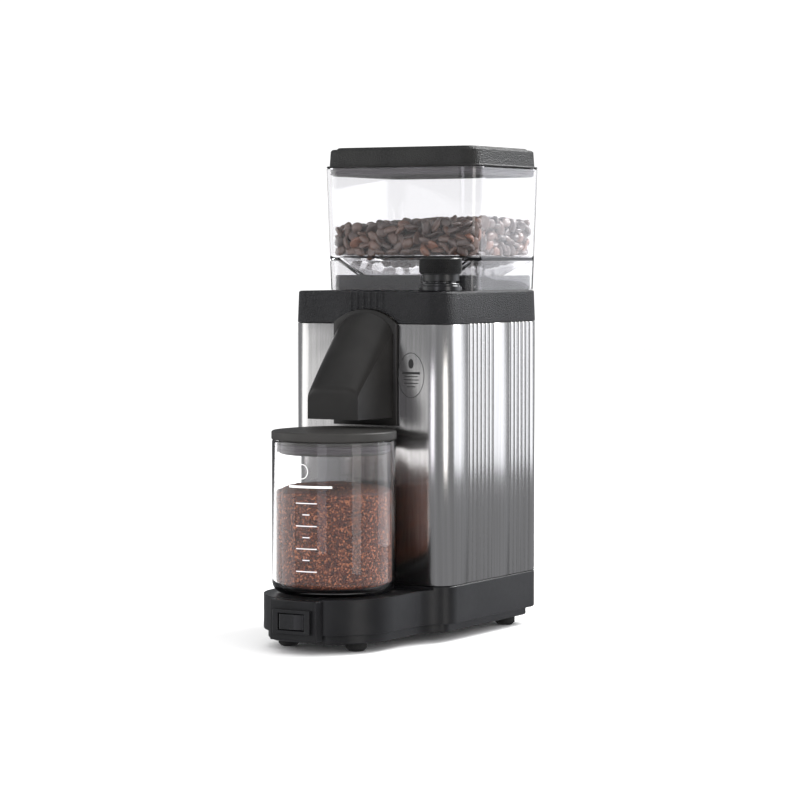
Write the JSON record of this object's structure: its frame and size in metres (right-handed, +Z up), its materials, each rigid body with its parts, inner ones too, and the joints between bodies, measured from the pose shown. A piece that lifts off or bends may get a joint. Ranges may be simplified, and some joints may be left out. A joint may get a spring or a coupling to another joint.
{
  "type": "burr coffee grinder",
  "caption": "Countertop burr coffee grinder: steel-wrapped body on a black base, clear lidded hopper, grind knob, chute over a lidded glass jar, rocker switch; geared flat burrs inside.",
  "frame": {"origin": "bottom centre of the bounding box, on the surface that the feet stand on", "axes": "+Z up, -Y towards the front with the jar and the switch, +X to the right of someone facing the front, on the knob's side"},
  "size_m": [0.1312, 0.251, 0.352],
  "materials": {
    "black_plastic": "satin moulded black",
    "rocker_plastic": "satin black",
    "knob_plastic": "knurled matt black",
    "lid_plastic": "matt charcoal",
    "hopper_lid_plastic": "fine moulded grain, charcoal",
    "steel_wrap": "satin stainless sheet with pressed flutes",
    "machined_steel": "turned",
    "burr_steel": "ground",
    "cast_aluminium": "as cast",
    "gear_plastic": "natural acetal",
    "clear_plastic": "clear, glossy",
    "jar_glass": "clear",
    "rubber": "matt",
    "seal": "translucent grey"
  },
  "bodies": {
    "housing": {"base_tray": "black_plastic", "bottom_cover": "black_plastic", "burr_bearing_lower": "machined_steel", "burr_bearing_upper": "machined_steel", "chassis_post_front_left": "machined_steel", "chassis_post_front_right": "machined_steel", "chassis_post_rear_left": "machined_steel", "chassis_post_rear_right": "machined_steel", "chute_bezel": "black_plastic", "chute_hood": "black_plastic", "cord_gland": "rubber", "foot_front_left": "rubber", "foot_front_right": "rubber", "foot_rear_left": "rubber", "foot_rear_right": "rubber", "gear_plate": "machined_steel", "grind_chamber": "cast_aluminium", "knob_collar": "black_plastic", "motor_bearing_lower": "machined_steel", "motor_bearing_upper": "machined_steel", "motor_bracket_lower": "cast_aluminium", "motor_bracket_upper": "cast_aluminium", "motor_capacitor": "cast_aluminium", "motor_stator": "machined_steel", "screw_front_left": "machined_steel", "screw_front_right": "machined_steel", "screw_rear_left": "machined_steel", "screw_rear_right": "machined_steel", "steel_shell": "steel_wrap", "switch_body": "black_plastic", "switch_panel": "black_plastic", "terminal_block": "gear_plastic", "top_cap": "black_plastic"},
    "hopper": {"hopper_bin": "clear_plastic"},
    "hopper_lid": {"hopper_lid": "hopper_lid_plastic", "hopper_lid_seal": "seal"},
    "jar": {"jar_glass": "jar_glass"},
    "jar_lid": {"jar_lid": "lid_plastic", "jar_lid_seal": "seal"},
    "knob": {"grind_knob": "knob_plastic", "knob_shaft": "machined_steel", "knob_pinion": "gear_plastic"},
    "adjuster": {"adjust_ring": "gear_plastic"},
    "upper_burr": {"upper_burr_carrier": "cast_aluminium", "upper_burr": "burr_steel"},
    "rocker": {"switch_rocker": "rocker_plastic"},
    "motor_rotor": {"motor_rotor": "machined_steel", "motor_shaft": "machined_steel", "cooling_fan": "gear_plastic", "motor_pinion": "machined_steel"},
    "burr_drive": {"drive_gear": "gear_plastic", "burr_shaft": "machined_steel", "lower_burr_carrier": "cast_aluminium", "lower_burr": "burr_steel"}
  },
  "joints": [
    {"name": "hopper_lift", "type": "slide", "parent": "housing", "child": "hopper", "axis": [0, 0, 1], "range_m": [0, 0.06]},
    {"name": "hopper_lid_lift", "type": "slide", "parent": "hopper", "child": "hopper_lid", "axis": [0, 0, 1], "range_m": [0, 0.05]},
    {"name": "jar_slide", "type": "slide", "parent": "housing", "child": "jar", "axis": [0, -1, 0], "range_m": [0, 0.05]},
    {"name": "jar_lid_lift", "type": "slide", "parent": "jar", "child": "jar_lid", "axis": [0, 0, 1], "range_m": [0, 0.001]},
    {"name": "knob_turn", "type": "hinge", "parent": "housing", "child": "knob", "pos_m": [0.0485, -0.0024, 0.2542], "axis": [0, 0, 1], "range_deg": [-360, 360]},
    {"name": "adjust_ring_turn", "type": "hinge", "parent": "housing", "child": "adjuster", "pos_m": [0, 0.0436, 0.2265], "axis": [0, 0, 1], "range_deg": [-69, 69]},
    {"name": "upper_burr_travel", "type": "slide", "parent": "housing", "child": "upper_burr", "axis": [0, 0, 1], "range_m": [-0.0003, 0.0003]},
    {"name": "rocker_tilt", "type": "hinge", "parent": "housing", "child": "rocker", "pos_m": [0.002, -0.1227, 0.0225], "axis": [0, 0, 1], "range_deg": [-16, 0]},
    {"name": "motor_spin", "type": "hinge", "parent": "housing", "child": "motor_rotor", "pos_m": [0, 0.0786, 0.1], "axis": [0, 0, 1], "continuous": true},
    {"name": "burr_spin", "type": "hinge", "parent": "housing", "child": "burr_drive", "pos_m": [0, 0.0436, 0.155], "axis": [0, 0, 1], "continuous": true}
  ],
  "couplings": [
    {"joint": "knob_turn", "follows": "adjust_ring_turn", "ratio": -5.2},
    {"joint": "upper_burr_travel", "follows": "adjust_ring_turn", "m_per_rad": 0.000239},
    {"joint": "burr_spin", "follows": "motor_spin", "ratio": -0.28571}
  ]
}
